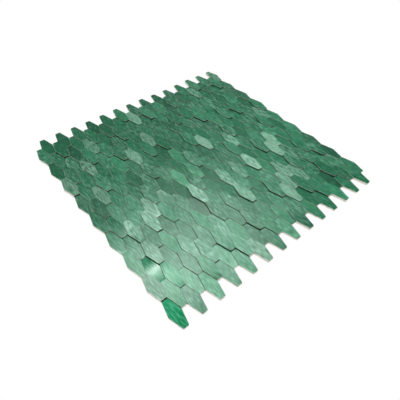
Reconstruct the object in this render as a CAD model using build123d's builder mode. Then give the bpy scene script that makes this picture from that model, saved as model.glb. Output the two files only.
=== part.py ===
from build123d import *
import math
import os

# A sheet of self-adhesive mosaic: long hexagonal metal chips in three thicknesses on one adhesive film.
# The chips stand end to end in columns along Y, and every second column is shifted by half a chip.
# Millimetres. The origin is under the middle of the sheet, on the adhesive face, with +Z up.

# Nominal sheet, which is made of the whole chips that come nearest to it
SHEET_WIDTH = 300
SHEET_LENGTH = 300

# Chip outline
CHIP_LENGTH = 31.3
CHIP_WIDTH = 14.33
CHIP_END_WIDTH = 6.2
END_CORNER_CUT = 0.7

# Chip thicknesses
THIN = 2.0
MIDDLE = 2.8
THICK = 3.6

# Open joint between neighbouring chips, square to their sides
JOINT = 0.2

# Adhesive film, cut back from the outer edges of the chips
FILM_THICKNESS = 0.5
FILM_SETBACK = 0.6

# Heights of the chips as seen from above, a row of chips to a line and a column to a mark:
# . is a thin chip, o a middle one and # a thick one. A larger sheet repeats the map.
HEIGHT_MAP = (
    "o.#o..#.ooo#oo#o..#.ooo#oo#o",
    "....#oo..#......#oo.........",
    "#o.o...#o.#o#o.o...#o.#o#o.o",
    "..o#o...#o....o#o...#o....o#",
    "o#....#o....o#....#o....o#..",
    ".o#o#oo...##..o.oo#..#oo..o.",
    "o.#o....o.#o#.#o....o.#.o##.",
    "#.o.oo#o#ooo#....#oo#oo.#...",
    ".o..o#...#o..o..o....#o..oo.",
)
CHIP_KINDS = {
    "thin_chips": (".", THIN),
    "middle_chips": ("o", MIDDLE),
    "thick_chips": ("#", THICK),
}

# The long sides lean by this much, and a joint across them is wider along X than square to them
SIDE_SLOPE = (CHIP_WIDTH - CHIP_END_WIDTH) / CHIP_LENGTH
SIDE_STRETCH = math.hypot(1, SIDE_SLOPE)

ROW_PITCH = CHIP_LENGTH + JOINT
COLUMN_PITCH = (CHIP_WIDTH + CHIP_END_WIDTH) / 2 + JOINT * (SIDE_STRETCH - SIDE_SLOPE / 2)

# Columns come in pairs, the second of a pair half a chip higher than the first
ROWS = round((SHEET_LENGTH + JOINT - ROW_PITCH / 2) / ROW_PITCH)
COLUMNS = 2 * round((SHEET_WIDTH - CHIP_WIDTH + COLUMN_PITCH) / (2 * COLUMN_PITCH))


def column_x(column):
    return (column - (COLUMNS - 1) / 2) * COLUMN_PITCH


def chip_y(column, row):
    """Middle of a chip along Y, with row 0 at the low end. Odd columns stand half a chip higher."""
    shift = 0.25 if column % 2 else -0.25
    return (row - (ROWS - 1) / 2 + shift) * ROW_PITCH


def chip_mark(column, row):
    """Mark of a chip on the map, whose last line is row 0."""
    line = HEIGHT_MAP[-1 - row % len(HEIGHT_MAP)]
    return line[column % len(line)]


def chip_centres(mark):
    """Middles of all chips with one mark on the map."""
    return [
        (column_x(column), chip_y(column, row))
        for row in range(ROWS)
        for column in range(COLUMNS)
        if chip_mark(column, row) == mark
    ]


def film_half_outline():
    """Points of the film's edge down its left side and along its low toothed side."""
    inset = FILM_SETBACK * SIDE_STRETCH
    end_half = CHIP_END_WIDTH / 2 + FILM_SETBACK * SIDE_SLOPE - inset
    waist_half = CHIP_END_WIDTH / 2 - JOINT / 2 * SIDE_SLOPE - inset
    middle_half = CHIP_WIDTH / 2 - inset

    left = column_x(0)
    column_top = chip_y(0, ROWS - 1) + CHIP_LENGTH / 2 - FILM_SETBACK
    points = [(left - end_half, column_top)]
    for row in reversed(range(ROWS)):
        points.append((left - middle_half, chip_y(0, row)))
        if row:
            points.append((left - waist_half, chip_y(0, row) - ROW_PITCH / 2))

    tooth_end = chip_y(0, 0) - CHIP_LENGTH / 2 + FILM_SETBACK
    root = chip_y(1, 0) - CHIP_LENGTH / 2 + FILM_SETBACK
    root_half = end_half + (root - tooth_end) * SIDE_SLOPE
    for column in range(0, COLUMNS, 2):
        middle = column_x(column)
        points.append((middle - end_half, tooth_end))
        points.append((middle + end_half, tooth_end))
        points.append((middle + root_half, root))
        if column + 2 < COLUMNS:
            points.append((column_x(column + 2) - root_half, root))
    return points


os.makedirs("parts", exist_ok=True)

# Outline of one chip
with BuildSketch() as chip_face:
    with BuildLine():
        Polyline(
            (-CHIP_END_WIDTH / 2, -CHIP_LENGTH / 2),
            (CHIP_END_WIDTH / 2, -CHIP_LENGTH / 2),
            (CHIP_WIDTH / 2, 0),
            (CHIP_END_WIDTH / 2, CHIP_LENGTH / 2),
            (-CHIP_END_WIDTH / 2, CHIP_LENGTH / 2),
            (-CHIP_WIDTH / 2, 0),
            close=True,
        )
    make_face()
    end_corners = chip_face.vertices().group_by(Axis.Y)
    chamfer(end_corners[0] + end_corners[-1], length=END_CORNER_CUT)

# Chips of each thickness, standing on the film
for name, (mark, thickness) in CHIP_KINDS.items():
    with BuildPart() as chip:
        with BuildSketch(Plane.XY.offset(FILM_THICKNESS)):
            add(chip_face.sketch)
        extrude(amount=thickness)
    with BuildPart() as chips:
        with Locations(*chip_centres(mark)):
            add(chip.part)
    chips.part.label = name
    export_step(chips.part, f"parts/{name}.step")

# Adhesive film under all of the chips, the same when turned half round
with BuildPart() as adhesive_backing:
    with BuildSketch():
        with BuildLine():
            half = film_half_outline()
            Polyline(*half, *[(-x, -y) for x, y in half], close=True)
        make_face()
    extrude(amount=FILM_THICKNESS)
adhesive_backing.part.label = "adhesive_backing"
export_step(adhesive_backing.part, "parts/adhesive_backing.step")
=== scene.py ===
"""Looks of a sheet of self-adhesive metal mosaic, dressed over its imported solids."""

import logging
import math
import random
from collections.abc import Collection
from dataclasses import dataclass
from enum import Enum

import bmesh
import bpy
from mathutils import Matrix, Vector

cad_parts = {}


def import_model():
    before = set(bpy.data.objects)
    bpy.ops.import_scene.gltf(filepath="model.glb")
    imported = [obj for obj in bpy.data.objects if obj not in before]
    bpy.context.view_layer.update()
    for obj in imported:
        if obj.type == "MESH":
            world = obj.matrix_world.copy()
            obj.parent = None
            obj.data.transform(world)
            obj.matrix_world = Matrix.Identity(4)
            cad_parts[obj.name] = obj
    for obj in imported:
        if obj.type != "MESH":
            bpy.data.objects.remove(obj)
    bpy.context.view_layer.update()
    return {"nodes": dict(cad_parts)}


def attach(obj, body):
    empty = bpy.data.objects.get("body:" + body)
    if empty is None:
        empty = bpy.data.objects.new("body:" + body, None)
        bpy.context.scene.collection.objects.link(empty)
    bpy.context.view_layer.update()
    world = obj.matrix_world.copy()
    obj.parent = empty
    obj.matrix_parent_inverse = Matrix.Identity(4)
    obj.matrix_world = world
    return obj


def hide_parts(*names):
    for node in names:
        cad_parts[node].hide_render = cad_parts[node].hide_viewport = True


LOG = logging.getLogger("mosaic_sheet")

MM = 0.001
BODY = "root"
LAY_SEED = 23

# A noise texture keeps nearly always between these
NOISE_LOW = 0.25
NOISE_HIGH = 0.75


class Surface(Enum):
    """Surfaces of a chip, numbered as its material slots are."""

    FACE = 0
    # Pale cut skin, also used as painted light on the sheet's outer sides
    SKIN_AND_PAINTED_LIT_SIDE = 1
    # Dark core, partly painted shade on the sides between raised chips
    CORE_AND_PAINTED_SHADE = 2
    UNSEALED_FACE = 3
    GLOSSY_FACE = 4


class Tint(Enum):
    """Batches of lacquer that stand out from the rest, each with its tone from 0, deep, to 1, pale."""

    PALEST = 0.9
    PALE = 0.68
    DEEP = 0.14
    VIVID = 0.35
    FRESH = 0.42


# Chips that stand out on the sheet, by column from the left and row from the low toothed edge
STANDING_OUT: dict[Tint, frozenset[tuple[int, int]]] = {
    Tint.PALEST: frozenset({(16, 5), (18, 3), (22, 3), (23, 3), (12, 8), (8, 6), (18, 1)}),
    Tint.PALE: frozenset({
        (19, 1), (21, 1), (16, 3), (10, 3), (5, 3), (11, 6), (14, 3), (14, 2), (3, 6), (5, 7),
        (22, 8), (27, 8), (2, 5), (2, 3), (0, 6), (26, 5), (19, 4), (20, 2), (10, 0),
    }),
    Tint.DEEP: frozenset({
        (3, 7), (2, 8), (1, 8), (7, 8), (9, 8), (17, 8), (11, 5), (11, 4), (8, 4), (9, 3),
        (12, 3), (13, 3), (9, 2), (13, 2), (16, 2), (13, 1), (27, 1), (24, 1), (23, 0), (19, 0),
        (20, 3), (19, 3), (24, 7), (26, 6), (26, 4),
    }),
    Tint.VIVID: frozenset({(0, 0)}),
    Tint.FRESH: frozenset({(12, 5), (10, 4), (6, 6), (22, 0), (18, 0), (1, 1), (2, 1)}),
}

# Chips near the low left corner that are clearly bowed, with their bow in radians a metre, and the glossy one
BOWED: dict[tuple[int, int], float] = {(1, 1): -4.5, (2, 1): -2.5}
GLOSSY = frozenset({(1, 1)})


def linear(colour: str) -> tuple[float, float, float, float]:
    """Turns an sRGB hex colour to linear.

    Args:
        colour: colour as "#rrggbb".

    Returns:
        Red, green, blue and an alpha of 1.
    """
    channels = [int(colour[start:start + 2], 16) / 255 for start in (1, 3, 5)]
    bent = [c / 12.92 if c <= 0.04045 else ((c + 0.055) / 1.055) ** 2.4 for c in channels]
    return (*bent, 1.0)


def add_node(tree: bpy.types.NodeTree, kind: str, inputs: dict | None = None, **settings) -> bpy.types.Node:
    """Adds a node with its settings and links.

    Args:
        tree: node tree that the node joins.
        kind: Blender's name for the type of node.
        inputs: a value or an output socket for each named or numbered input.
        settings: the node's own options.

    Returns:
        The new node.
    """
    node = tree.nodes.new(kind)
    for option, value in settings.items():
        setattr(node, option, value)
    for key, value in (inputs or {}).items():
        if isinstance(value, bpy.types.NodeSocket):
            tree.links.new(value, node.inputs[key])
        else:
            node.inputs[key].default_value = value
    return node


def new_material(name: str) -> tuple[bpy.types.Material, bpy.types.NodeTree]:
    """Makes an empty node material.

    Args:
        name: what the material is.

    Returns:
        The material and its node tree.
    """
    material = bpy.data.materials.new(name)
    material.use_nodes = True
    material.node_tree.nodes.clear()
    return material, material.node_tree


@dataclass(frozen=True)
class LacqueredAluminium:
    """Brushed aluminium sheet under clear green lacquer.

    The eye gets a soft metal sheen, fine lines along the chip that spread the light across it, a white gloss
    from the clear top coat, and a tone that differs from chip to chip with the thickness of the lacquer.
    """

    name: str = "green_lacquer_on_brushed_aluminium"
    deep: str = "#074730"
    middle: str = "#19664a"
    middle_stop: float = 0.45
    pale: str = "#8fb9a1"
    vivid_deep: str = "#0a6b43"
    vivid_pale: str = "#4cb184"
    metallic: float = 0.3
    roughness: float = 0.42
    roughness_swing: float = 0.14
    specular_level: float = 0.0
    anisotropy: float = 0.5
    coat: float = 1.0
    coat_roughness: float = 0.3
    coat_ior: float = 1.5
    # Brushing is about 0.1 mm wide, and drawn this coarse so that it shows
    grain_width: float = 0.5 * MM
    grain_length: float = 6 * MM
    grain_depth: float = 0.05 * MM
    grain_strength: float = 0.5
    grain_swing: float = 0.95
    cloud_width: float = 9 * MM
    cloud_detail: float = 2.0
    cloud_swing: float = 0.05
    wave_width: float = 24 * MM
    wave_depth: float = 0.2 * MM

    def material(self) -> bpy.types.Material:
        """Builds the material, which reads how each chip came out from its attributes.

        Returns:
            The material.
        """
        material, tree = new_material(self.name)
        place = add_node(tree, "ShaderNodeTexCoord").outputs["Object"]
        lay = add_node(tree, "ShaderNodeAttribute", attribute_name="lay").outputs["Vector"]
        tone = add_node(tree, "ShaderNodeAttribute", attribute_name="tone").outputs["Fac"]
        vividness = add_node(tree, "ShaderNodeAttribute", attribute_name="vividness").outputs["Fac"]
        own_place = add_node(tree, "ShaderNodeVectorMath", {0: place, 1: lay}, operation="ADD").outputs[0]

        grain_scale = (1 / self.grain_width, 1 / self.grain_length, 1 / self.grain_width)
        along = add_node(tree, "ShaderNodeMapping", {"Vector": own_place, "Scale": grain_scale})
        grain = add_node(
            tree, "ShaderNodeTexNoise", {"Vector": along.outputs[0], "Scale": 1.0, "Detail": 0.0}
        )
        cloud = add_node(
            tree, "ShaderNodeTexNoise",
            {"Vector": own_place, "Scale": 1 / self.cloud_width, "Detail": self.cloud_detail},
        )
        wave = add_node(
            tree, "ShaderNodeTexNoise", {"Vector": own_place, "Scale": 1 / self.wave_width, "Detail": 0.0}
        )

        grain_step, cloud_step = (
            add_node(
                tree, "ShaderNodeMapRange",
                {"Value": noise.outputs[0], "From Min": NOISE_LOW, "From Max": NOISE_HIGH,
                 "To Min": -swing / 2, "To Max": swing / 2},
            ).outputs[0]
            for noise, swing in ((grain, self.grain_swing), (cloud, self.cloud_swing))
        )
        drift = add_node(tree, "ShaderNodeMath", {0: grain_step, 1: cloud_step}, operation="ADD").outputs[0]
        shade = add_node(tree, "ShaderNodeMath", {0: tone, 1: drift}, operation="ADD").outputs[0]

        ramp = add_node(tree, "ShaderNodeValToRGB", {"Fac": shade})
        stops = ramp.color_ramp.elements
        stops[0].color = linear(self.deep)
        stops[1].color = linear(self.pale)
        stops.new(self.middle_stop).color = linear(self.middle)
        fresh = add_node(
            tree, "ShaderNodeMix", {0: shade, 6: linear(self.vivid_deep), 7: linear(self.vivid_pale)},
            data_type="RGBA",
        )
        vivid = add_node(
            tree, "ShaderNodeMix", {0: vividness, 6: ramp.outputs[0], 7: fresh.outputs[2]}, data_type="RGBA"
        )

        rough = add_node(
            tree, "ShaderNodeMapRange",
            {"Value": grain.outputs[0], "From Min": NOISE_LOW, "From Max": NOISE_HIGH,
             "To Min": self.roughness - self.roughness_swing / 2,
             "To Max": self.roughness + self.roughness_swing / 2},
        )
        waves = add_node(
            tree, "ShaderNodeBump",
            {"Height": wave.outputs[0], "Strength": 1.0, "Distance": self.wave_depth,
             "Normal": self.warp(tree)},
        )
        brushed = add_node(
            tree, "ShaderNodeBump",
            {"Height": grain.outputs[0], "Strength": self.grain_strength, "Distance": self.grain_depth,
             "Normal": waves.outputs[0]},
        )
        across = add_node(tree, "ShaderNodeCombineXYZ", {"X": 1.0})
        shader = add_node(
            tree, "ShaderNodeBsdfPrincipled",
            {"Base Color": vivid.outputs[2], "Metallic": self.metallic, "Roughness": rough.outputs[0],
             "Specular IOR Level": self.specular_level, "Anisotropic": self.anisotropy,
             "Coat Weight": self.coat, "Coat Roughness": self.coat_roughness, "Coat IOR": self.coat_ior,
             "Normal": brushed.outputs[0], "Coat Normal": waves.outputs[0], "Tangent": across.outputs[0]},
        )
        add_node(tree, "ShaderNodeOutputMaterial", {"Surface": shader.outputs[0]})
        return material

    @staticmethod
    def warp(tree: bpy.types.NodeTree) -> bpy.types.NodeSocket:
        """Adds the slight bow, twist and lean of each face.

        Args:
            tree: node tree of the material.

        Returns:
            Socket of the bent normal.
        """
        across, along, bow, twist, lean = (
            add_node(tree, "ShaderNodeAttribute", attribute_name=key).outputs["Fac"]
            for key in ("across", "along", "bow", "twist", "lean")
        )
        bowed = add_node(
            tree, "ShaderNodeMath", {0: along, 1: bow, 2: lean}, operation="MULTIPLY_ADD"
        ).outputs[0]
        slope = add_node(
            tree, "ShaderNodeMath", {0: across, 1: twist, 2: bowed}, operation="MULTIPLY_ADD"
        ).outputs[0]
        rise = add_node(tree, "ShaderNodeMath", {0: slope, 1: along}, operation="MULTIPLY").outputs[0]
        return add_node(
            tree, "ShaderNodeBump", {"Height": rise, "Strength": 1.0, "Distance": 1.0}
        ).outputs[0]


@dataclass(frozen=True)
class CutSkinAndPaintedLitSide:
    """Bare cut aluminium, pale and nicked.

    The eye gets a thin line of it at the top of the chips' sides. Whole sides on the sheet's outer edge are
    given it too, as painted light: a pale lit copy of those sides that stands for the light of the white
    floor on them, where the same sides inside the sheet show the dark core.
    """

    bright: str = "#eeebe0"
    bright_stop: float = 0.6
    dull: str = "#c9c4b4"
    dull_stop: float = 0.35
    metallic: float = 0.4
    roughness: float = 0.4
    nick_length: float = 4 * MM
    nick_detail: float = 3.0

    def material(self) -> bpy.types.Material:
        """Builds the material.

        Returns:
            The material.
        """
        material, tree = new_material("bare_cut_aluminium_and_painted_lit_side")
        place = add_node(tree, "ShaderNodeTexCoord").outputs["Object"]
        nick = add_node(
            tree, "ShaderNodeTexNoise",
            {"Vector": place, "Scale": 1 / self.nick_length, "Detail": self.nick_detail},
        )
        ramp = add_node(tree, "ShaderNodeValToRGB", {"Fac": nick.outputs[0]})
        stops = ramp.color_ramp.elements
        stops[0].position, stops[1].position = self.dull_stop, self.bright_stop
        stops[0].color, stops[1].color = linear(self.dull), linear(self.bright)
        shader = add_node(
            tree, "ShaderNodeBsdfPrincipled",
            {"Base Color": ramp.outputs[0], "Metallic": self.metallic, "Roughness": self.roughness},
        )
        add_node(tree, "ShaderNodeOutputMaterial", {"Surface": shader.outputs[0]})
        return material


@dataclass(frozen=True)
class SawnCoreAndPaintedShade:
    """Dark filled core under the metal, sawn through: nearly black brown, with a soft gloss and saw marks."""

    # The near-black is partly the core's own colour and partly painted shade: it stands for the shade on the
    # sides between raised chips, as the shaded copy of sides whose outer ones are painted pale
    dark: str = "#120b07"
    dark_stop: float = 0.3
    brown: str = "#30221a"
    brown_stop: float = 0.75
    roughness: float = 0.25
    specular_level: float = 0.5
    mark_width: float = 0.5 * MM
    mark_height: float = 6 * MM
    mark_depth: float = 0.05 * MM
    mark_strength: float = 0.6
    mark_detail: float = 2.0

    def material(self) -> bpy.types.Material:
        """Builds the material.

        Returns:
            The material.
        """
        material, tree = new_material("sawn_dark_core_and_painted_shade")
        place = add_node(tree, "ShaderNodeTexCoord").outputs["Object"]
        mark_scale = (1 / self.mark_width, 1 / self.mark_width, 1 / self.mark_height)
        upright = add_node(tree, "ShaderNodeMapping", {"Vector": place, "Scale": mark_scale})
        marks = add_node(
            tree, "ShaderNodeTexNoise",
            {"Vector": upright.outputs[0], "Scale": 1.0, "Detail": self.mark_detail},
        )
        ramp = add_node(tree, "ShaderNodeValToRGB", {"Fac": marks.outputs[0]})
        stops = ramp.color_ramp.elements
        stops[0].position, stops[1].position = self.dark_stop, self.brown_stop
        stops[0].color, stops[1].color = linear(self.dark), linear(self.brown)
        grooves = add_node(
            tree, "ShaderNodeBump",
            {"Height": marks.outputs[0], "Strength": self.mark_strength, "Distance": self.mark_depth},
        )
        shader = add_node(
            tree, "ShaderNodeBsdfPrincipled",
            {"Base Color": ramp.outputs[0], "Roughness": self.roughness, "Normal": grooves.outputs[0],
             "Specular IOR Level": self.specular_level},
        )
        add_node(tree, "ShaderNodeOutputMaterial", {"Surface": shader.outputs[0]})
        return material


@dataclass(frozen=True)
class AdhesiveFilm:
    """Soft acrylic adhesive film: milky grey, faintly blotched by air, with a dull tacky sheen."""

    light: str = "#c4c3bb"
    light_stop: float = 0.65
    grey: str = "#a5a49c"
    grey_stop: float = 0.35
    blotch_width: float = 14 * MM
    blotch_detail: float = 4.0
    fleck_width: float = 1.2 * MM
    fleck_detail: float = 2.0
    fleck_low: float = 0.3
    fleck_high: float = 0.7
    fleck_depth: float = 0.08 * MM
    fleck_strength: float = 0.4
    roughness: float = 0.5
    roughness_swing: float = 0.3

    def material(self) -> bpy.types.Material:
        """Builds the material.

        Returns:
            The material.
        """
        material, tree = new_material("acrylic_adhesive_film")
        place = add_node(tree, "ShaderNodeTexCoord").outputs["Object"]
        blotch, fleck = (
            add_node(tree, "ShaderNodeTexNoise", {"Vector": place, "Scale": 1 / width, "Detail": detail})
            for width, detail in (
                (self.blotch_width, self.blotch_detail), (self.fleck_width, self.fleck_detail)
            )
        )
        ramp = add_node(tree, "ShaderNodeValToRGB", {"Fac": blotch.outputs[0]})
        stops = ramp.color_ramp.elements
        stops[0].position, stops[1].position = self.grey_stop, self.light_stop
        stops[0].color, stops[1].color = linear(self.grey), linear(self.light)
        tack = add_node(
            tree, "ShaderNodeMapRange",
            {"Value": fleck.outputs[0], "From Min": self.fleck_low, "From Max": self.fleck_high,
             "To Min": self.roughness - self.roughness_swing / 2,
             "To Max": self.roughness + self.roughness_swing / 2},
        )
        skin = add_node(
            tree, "ShaderNodeBump",
            {"Height": fleck.outputs[0], "Strength": self.fleck_strength, "Distance": self.fleck_depth},
        )
        shader = add_node(
            tree, "ShaderNodeBsdfPrincipled",
            {"Base Color": ramp.outputs[0], "Roughness": tack.outputs[0], "Normal": skin.outputs[0]},
        )
        add_node(tree, "ShaderNodeOutputMaterial", {"Surface": shader.outputs[0]})
        return material


@dataclass(frozen=True)
class ChipPlace:
    """Place of one chip: its column and row, and its box in metres."""

    column: int
    row: int
    low: Vector
    high: Vector

    @property
    def middle(self) -> Vector:
        """Middle of the chip's face."""
        return Vector(((self.low.x + self.high.x) / 2, (self.low.y + self.high.y) / 2, self.high.z))


@dataclass(frozen=True)
class ChipLay:
    """How one chip came out.

    Its lacquer has a tone, a vividness and a kind of surface, and its grain is shifted by its lay. Its
    face has a bow and a twist in radians a metre and a lean along the chip, and it is turned by its tilts
    in radians.
    """

    tone: float
    vividness: float
    surface: Surface
    lay: float
    bow: float
    twist: float
    lean: float
    tilt_x: float
    tilt_y: float


@dataclass
class Mosaic:
    """All chips of the sheet, in one piece for each thickness.

    Lengths are in metres and angles in radians. Tilts are drawn evenly up to the one given, and bows, twists,
    leans and tones with the spreads given.
    """

    nodes: dict[str, bpy.types.Object]
    node_names: tuple[str, ...] = ("thin_chips", "middle_chips", "thick_chips")
    end_width: float = 6.2 * MM
    corner_cut: float = 0.9 * MM
    corner_segments: int = 3
    swing_room: float = 0.03 * MM
    skin: float = 0.25 * MM
    edge_break: float = 0.08 * MM
    merge_distance: float = 0.001 * MM
    level_limit: float = 0.99
    upright_limit: float = 0.5
    tilt: float = math.radians(0.35)
    bow: float = 0.9
    twist: float = 0.6
    lean: float = 0.016
    tone_middle: float = 0.345
    tone_spread: float = 0.09
    tint_spread: float = 0.05
    vividness: tuple[float, float] = (0.15, 0.6)
    vivid_vividness: tuple[float, float] = (0.6, 0.85)
    milky_vividness: tuple[float, float] = (0.05, 0.25)
    slot: str = "lacquered_aluminium"
    # In the order of the surfaces
    finishes: tuple[LacqueredAluminium | CutSkinAndPaintedLitSide | SawnCoreAndPaintedShade, ...] = (
        LacqueredAluminium(),
        CutSkinAndPaintedLitSide(),
        SawnCoreAndPaintedShade(),
        LacqueredAluminium(name="unsealed_green_lacquer", coat=0.0),
        LacqueredAluminium(name="glossy_green_lacquer", coat_roughness=0.2),
    )

    def boxes(self, node: bpy.types.Object) -> list[tuple[Vector, Vector]]:
        """Finds the box of each chip in a node.

        Args:
            node: node whose solids are the chips of one thickness.

        Returns:
            Lowest and highest corner of each chip.
        """
        shape = bmesh.new()
        shape.from_mesh(node.data)
        bmesh.ops.remove_doubles(shape, verts=shape.verts, dist=self.merge_distance)
        waiting = set(shape.verts)
        found = []
        while waiting:
            front, chip = [waiting.pop()], []
            while front:
                vert = front.pop()
                chip.append(vert.co.copy())
                beside = {edge.other_vert(vert) for edge in vert.link_edges} & waiting
                waiting -= beside
                front.extend(beside)
            low = Vector(min(co[axis] for co in chip) for axis in range(3))
            high = Vector(max(co[axis] for co in chip) for axis in range(3))
            found.append((low, high))
        shape.free()
        return found

    def places(self) -> dict[str, list[ChipPlace]]:
        """Numbers the chips of all nodes by column and row.

        Returns:
            Places of the chips of each node, by column and then by row.
        """
        boxes = {name: self.boxes(self.nodes[name]) for name in self.node_names}
        columns: dict[int, list[int]] = {}
        for low, high in (box for chips in boxes.values() for box in chips):
            columns.setdefault(self.in_tenths(low.x + high.x), []).append(self.in_tenths(low.y + high.y))
        left_to_right = sorted(columns)
        placed = {}
        for name, chips in boxes.items():
            placed[name] = []
            for low, high in chips:
                across, along = self.in_tenths(low.x + high.x), self.in_tenths(low.y + high.y)
                row = sorted(columns[across]).index(along)
                placed[name].append(ChipPlace(left_to_right.index(across), row, low, high))
            placed[name].sort(key=lambda place: (place.column, place.row))
        return placed

    @staticmethod
    def in_tenths(length: float) -> int:
        """Length in whole tenths of a millimetre, to tell places apart."""
        return round(length / (0.1 * MM))

    def lays(self, places: dict[str, list[ChipPlace]]) -> dict[tuple[int, int], ChipLay]:
        """Draws how each chip came out, in the order of the columns and rows.

        Args:
            places: places of the chips of each node.

        Returns:
            Lay of each chip by column and row.
        """
        draw = random.Random(LAY_SEED)
        spots = sorted((place.column, place.row) for chips in places.values() for place in chips)
        drawn = {}
        for spot in spots:
            tone = draw.gauss(self.tone_middle, self.tone_spread)
            batch = next((tint for tint, chips in STANDING_OUT.items() if spot in chips), None)
            if batch:
                tone = batch.value + draw.uniform(-self.tint_spread, self.tint_spread)
            vividness = draw.uniform(*self.vividness)
            if batch in (Tint.VIVID, Tint.FRESH):
                vividness = draw.uniform(*self.vivid_vividness)
            elif batch in (Tint.PALE, Tint.PALEST):
                vividness = draw.uniform(*self.milky_vividness)
            tilts = [draw.uniform(-self.tilt, self.tilt) for _ in range(2)]
            lay = draw.random()
            bow, twist = draw.gauss(0.0, self.bow), draw.gauss(0.0, self.twist)
            lean = draw.gauss(0.0, self.lean)
            if spot in BOWED:
                bow, lean = BOWED[spot], 0.0
            surface = Surface.UNSEALED_FACE if batch is Tint.VIVID else Surface.FACE
            if spot in GLOSSY:
                surface = Surface.GLOSSY_FACE
            tone = min(max(tone, 0.0), 1.0)
            drawn[spot] = ChipLay(tone, vividness, surface, lay, bow, twist, lean, *tilts)
        return drawn

    def chip(self, place: ChipPlace) -> bpy.types.Mesh:
        """Models one chip with the middle of its face at the origin.

        Args:
            place: place of a chip of this thickness.

        Returns:
            Mesh of the chip, with its surfaces numbered.
        """
        half_length = (place.high.y - place.low.y) / 2 - self.swing_room
        half_width = (place.high.x - place.low.x) / 2 - self.swing_room
        half_end = self.end_width / 2 - self.swing_room
        shape = bmesh.new()
        corners = [
            shape.verts.new((x, y, place.low.z - place.high.z))
            for x, y in (
                (-half_end, -half_length), (half_end, -half_length), (half_width, 0),
                (half_end, half_length), (-half_end, half_length), (-half_width, 0),
            )
        ]
        shape.faces.new(corners)
        ends = [corner for corner in corners if corner.co.y]
        bmesh.ops.bevel(
            shape, geom=ends, offset=self.corner_cut, segments=self.corner_segments, profile=0.5,
            affect="VERTICES", material=-1,
        )
        layer = shape.faces[:]
        for height in (place.high.z - place.low.z - self.skin, self.skin):
            raised = bmesh.ops.extrude_face_region(shape, geom=layer)["geom"]
            layer = [part for part in raised if isinstance(part, bmesh.types.BMFace)]
            top = [part for part in raised if isinstance(part, bmesh.types.BMVert)]
            bmesh.ops.translate(shape, verts=top, vec=(0, 0, height))
        bmesh.ops.recalc_face_normals(shape, faces=shape.faces)
        rim = [edge for face in layer for edge in face.edges]
        bmesh.ops.bevel(
            shape, geom=rim, offset=self.edge_break, segments=1, profile=0.5, affect="EDGES", material=-1
        )
        for face in shape.faces:
            face.normal_update()
            above_core = face.calc_center_median().z > -self.skin
            level = face.normal.z > self.level_limit
            surface = Surface.FACE if level else Surface.SKIN_AND_PAINTED_LIT_SIDE if above_core else Surface.CORE_AND_PAINTED_SHADE
            face.material_index = surface.value
        mesh = bpy.data.meshes.new("chip")
        shape.to_mesh(mesh)
        shape.free()
        return mesh

    @staticmethod
    def at_edge(spot: tuple[int, int], normal: Vector, taken: Collection[tuple[int, int]]) -> bool:
        """Tells whether a side of a chip is on the outer edge of the sheet.

        Args:
            spot: column and row of the chip.
            normal: direction that the side faces.
            taken: columns and rows of all chips.

        Returns:
            True if no chip stands beside this side.
        """
        column, row = spot
        if abs(normal.y) > abs(normal.x):
            return (column, row + (1 if normal.y > 0 else -1)) not in taken
        higher = column % 2 if normal.y > 0 else column % 2 - 1
        return (column + (1 if normal.x > 0 else -1), row + higher) not in taken

    def lower(self, place: ChipPlace, lay: ChipLay) -> float:
        """How far a tilted chip is pressed into the film, so that no corner stands above its level."""
        half = (place.high - place.low) / 2
        return half.y * abs(math.sin(lay.tilt_x)) + half.x * abs(math.sin(lay.tilt_y))

    def build(self) -> list[bpy.types.Object]:
        """Builds a piece for each thickness and dresses it.

        Returns:
            The pieces.
        """
        materials = [finish.material() for finish in self.finishes]
        places = self.places()
        lays = self.lays(places)
        return [self.piece(name, chips, lays, materials) for name, chips in places.items()]

    def piece(
        self,
        name: str,
        chips: list[ChipPlace],
        lays: dict[tuple[int, int], ChipLay],
        materials: list[bpy.types.Material],
    ) -> bpy.types.Object:
        """Builds the chips of one thickness as one piece.

        Args:
            name: node that the piece stands for.
            chips: places of its chips.
            lays: how each chip of the sheet came out.
            materials: materials by number of the surface.

        Returns:
            The piece.
        """
        one = self.chip(chips[0])
        joined = bmesh.new()
        keys = ("tone", "vividness", "lay", "bow", "twist", "lean")
        values = {key: joined.faces.layers.float.new(key) for key in keys}
        across, along = (joined.verts.layers.float.new(key) for key in ("across", "along"))
        for place in chips:
            lay = lays[place.column, place.row]
            verts_before, faces_before = len(joined.verts), len(joined.faces)
            joined.from_mesh(one)
            joined.verts.ensure_lookup_table()
            joined.faces.ensure_lookup_table()
            for vert in joined.verts[verts_before:]:
                vert[across], vert[along] = vert.co.x, vert.co.y
            seat = place.middle - Vector((0, 0, self.lower(place, lay)))
            turn = Matrix.Rotation(lay.tilt_x, 4, "X") @ Matrix.Rotation(lay.tilt_y, 4, "Y")
            bmesh.ops.transform(
                joined, matrix=Matrix.Translation(seat) @ turn, verts=joined.verts[verts_before:]
            )
            for face in joined.faces[faces_before:]:
                upright = abs(face.normal.z) < self.upright_limit
                if face.material_index == Surface.FACE.value:
                    face.material_index = lay.surface.value
                # Sides on the sheet's outer edge get the pale skin as painted light, standing for the white
                # floor's light on them; the same sides inside the sheet keep the dark core
                elif upright and self.at_edge((place.column, place.row), face.normal, lays):
                    face.material_index = Surface.SKIN_AND_PAINTED_LIT_SIDE.value
                for key, layer in values.items():
                    face[layer] = getattr(lay, key)
        mesh = bpy.data.meshes.new(f"lacquered_{name}")
        joined.to_mesh(mesh)
        joined.free()
        bpy.data.meshes.remove(one)
        for material in materials:
            mesh.materials.append(material)
        piece = bpy.data.objects.new(f"lacquered_{name}", mesh)
        bpy.context.scene.collection.objects.link(piece)
        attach(piece, BODY)
        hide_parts(name)
        LOG.info("%s: %d chips, %d faces", piece.name, len(chips), len(mesh.polygons))
        return piece


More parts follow.
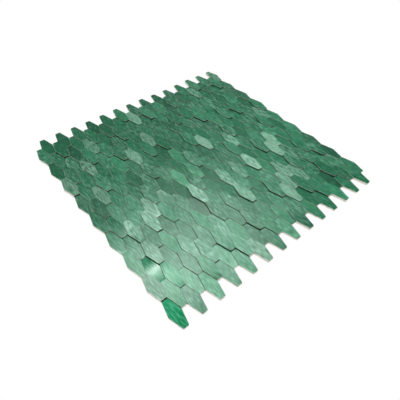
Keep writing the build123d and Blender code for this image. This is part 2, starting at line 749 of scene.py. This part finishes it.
@dataclass
class Backing:
    """Adhesive film under the chips, shown as it was modelled."""

    node: bpy.types.Object
    slot: str = "adhesive_film"
    finish: AdhesiveFilm = AdhesiveFilm()

    def dress(self) -> None:
        """Gives the film its finish."""
        self.node.data.materials.clear()
        self.node.data.materials.append(self.finish.material())
        LOG.info("%s: dressed", self.node.name)


@dataclass
class Studio:
    """Plain white floor and surroundings, and two softboxes overhead, the back one with its bulb showing."""

    floor_half: float = 6.0
    floor_drop: float = 0.05 * MM
    floor_colour: str = "#f4f4f2"
    ceiling_level: float = 0.08
    horizon_top: float = math.radians(15)
    ceiling_start: float = math.radians(28)
    back_place: tuple[float, float, float] = (0.24, 0.36, 1.0)
    back_sides: tuple[float, float] = (0.95, 0.44)
    back_power: float = 7.6
    front_place: tuple[float, float, float] = (-0.25, -0.3, 1.0)
    front_sides: tuple[float, float] = (0.6, 0.6)
    front_power: float = 3.3
    bulb_place: tuple[float, float, float] = (0.19, 0.41, 0.99)
    bulb_sides: tuple[float, float] = (0.12, 0.12)
    bulb_power: float = 1.1

    @staticmethod
    def seen_directly(tree: bpy.types.NodeTree) -> bpy.types.NodeSocket:
        """Adds nodes that tell rays that show the stage from rays that light the sheet.

        Args:
            tree: node tree of the floor.

        Returns:
            Socket that gives 1 to camera, glossy and transmission rays and 0 to the rest.
        """
        path = add_node(tree, "ShaderNodeLightPath")
        mirrored = add_node(
            tree, "ShaderNodeMath",
            {0: path.outputs["Is Glossy Ray"], 1: path.outputs["Is Transmission Ray"]}, operation="MAXIMUM",
        )
        return add_node(
            tree, "ShaderNodeMath",
            {0: path.outputs["Is Camera Ray"], 1: mirrored.outputs[0]}, operation="MAXIMUM",
        ).outputs[0]

    def build(self) -> None:
        """Builds the floor, the world and the lamps."""
        self.lay_floor()
        self.surround()
        self.hang("back_softbox", self.back_place, self.back_sides, self.back_power)
        self.hang("front_softbox", self.front_place, self.front_sides, self.front_power)
        self.hang("bulb", self.bulb_place, self.bulb_sides, self.bulb_power)

    def lay_floor(self) -> None:
        """Lays a floor that is white to the eye and sends plain light back to the sheet."""
        shape = bmesh.new()
        bmesh.ops.create_grid(shape, x_segments=1, y_segments=1, size=self.floor_half)
        bmesh.ops.translate(shape, verts=shape.verts, vec=(0, 0, -self.floor_drop))
        mesh = bpy.data.meshes.new("floor")
        shape.to_mesh(mesh)
        shape.free()
        material, tree = new_material("white_paper_floor")
        paper = add_node(tree, "ShaderNodeBsdfDiffuse", {"Color": linear(self.floor_colour)})
        glow = add_node(tree, "ShaderNodeEmission", {"Strength": 1.0})
        mixed = add_node(
            tree, "ShaderNodeMixShader",
            {0: self.seen_directly(tree), 1: paper.outputs[0], 2: glow.outputs[0]},
        )
        add_node(tree, "ShaderNodeOutputMaterial", {"Surface": mixed.outputs[0]})
        mesh.materials.append(material)
        floor = bpy.data.objects.new("floor", mesh)
        bpy.context.scene.collection.objects.link(floor)

    def surround(self) -> None:
        """Surrounds the sheet with white walls under a dimmer ceiling, which light it at a plain level."""
        world = bpy.data.worlds.new("white_surround")
        world.use_nodes = True
        tree = world.node_tree
        tree.nodes.clear()
        direction = add_node(tree, "ShaderNodeTexCoord").outputs["Generated"]
        height = add_node(tree, "ShaderNodeSeparateXYZ", {0: direction}).outputs["Z"]
        level = add_node(
            tree, "ShaderNodeMapRange",
            {"Value": height, "From Min": math.sin(self.horizon_top),
             "From Max": math.sin(self.ceiling_start), "To Min": 1.0, "To Max": self.ceiling_level},
            interpolation_type="SMOOTHSTEP",
        )
        white = add_node(
            tree, "ShaderNodeBackground", {"Color": (1, 1, 1, 1), "Strength": level.outputs[0]}
        )
        add_node(tree, "ShaderNodeOutputWorld", {"Surface": white.outputs[0]})
        bpy.context.scene.world = world

    def hang(
        self, name: str, place: tuple[float, float, float], sides: tuple[float, float], power: float
    ) -> None:
        """Hangs an oblong lamp that points straight down.

        Args:
            name: name of the lamp.
            place: where it hangs.
            sides: its sides along X and along Y.
            power: power in watts.
        """
        light = bpy.data.lights.new(name, "AREA")
        light.shape = "RECTANGLE"
        light.size, light.size_y = sides
        light.energy = power
        lamp = bpy.data.objects.new(name, light)
        lamp.location = place
        bpy.context.scene.collection.objects.link(lamp)


@dataclass
class PhotoCamera:
    """Camera at the photograph's viewpoint. Azimuth 0 looks along +Y, and roll lifts its right side."""

    azimuth: float = math.radians(-42.67)
    elevation: float = math.radians(48.21)
    roll: float = math.radians(3.25)
    target: tuple[float, float, float] = (-0.0408, -0.0484, 0.003)
    distance: float = 0.4064
    lens: float = 33.63
    sensor: float = 36.0
    clip_start: float = 0.01

    def place(self) -> None:
        """Makes the camera and gives it to the scene."""
        level = math.cos(self.elevation)
        back = Vector(
            (math.sin(self.azimuth) * level, -math.cos(self.azimuth) * level, math.sin(self.elevation))
        )
        right = Vector((math.cos(self.azimuth), math.sin(self.azimuth), 0))
        up = back.cross(right)
        tilted_right = right * math.cos(self.roll) + up * math.sin(self.roll)
        tilted_up = back.cross(tilted_right)
        turn = Matrix((tilted_right, tilted_up, back)).transposed()
        data = bpy.data.cameras.new("photo_camera")
        data.lens = self.lens
        data.sensor_width = self.sensor
        data.clip_start = self.clip_start
        camera = bpy.data.objects.new("photo_camera", data)
        camera.matrix_world = Matrix.Translation(Vector(self.target) + back * self.distance) @ turn.to_4x4()
        bpy.context.scene.collection.objects.link(camera)
        bpy.context.scene.camera = camera


def main() -> None:
    """Builds the sheet's looks, its stage and its camera in order."""
    logging.basicConfig(level=logging.INFO, format="%(name)s %(message)s")
    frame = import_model()
    bpy.context.scene.view_settings.view_transform = "Standard"
    Mosaic(frame["nodes"]).build()
    Backing(frame["nodes"]["adhesive_backing"]).dress()
    Studio().build()
    PhotoCamera().place()


if __name__ == "__main__":
    main()
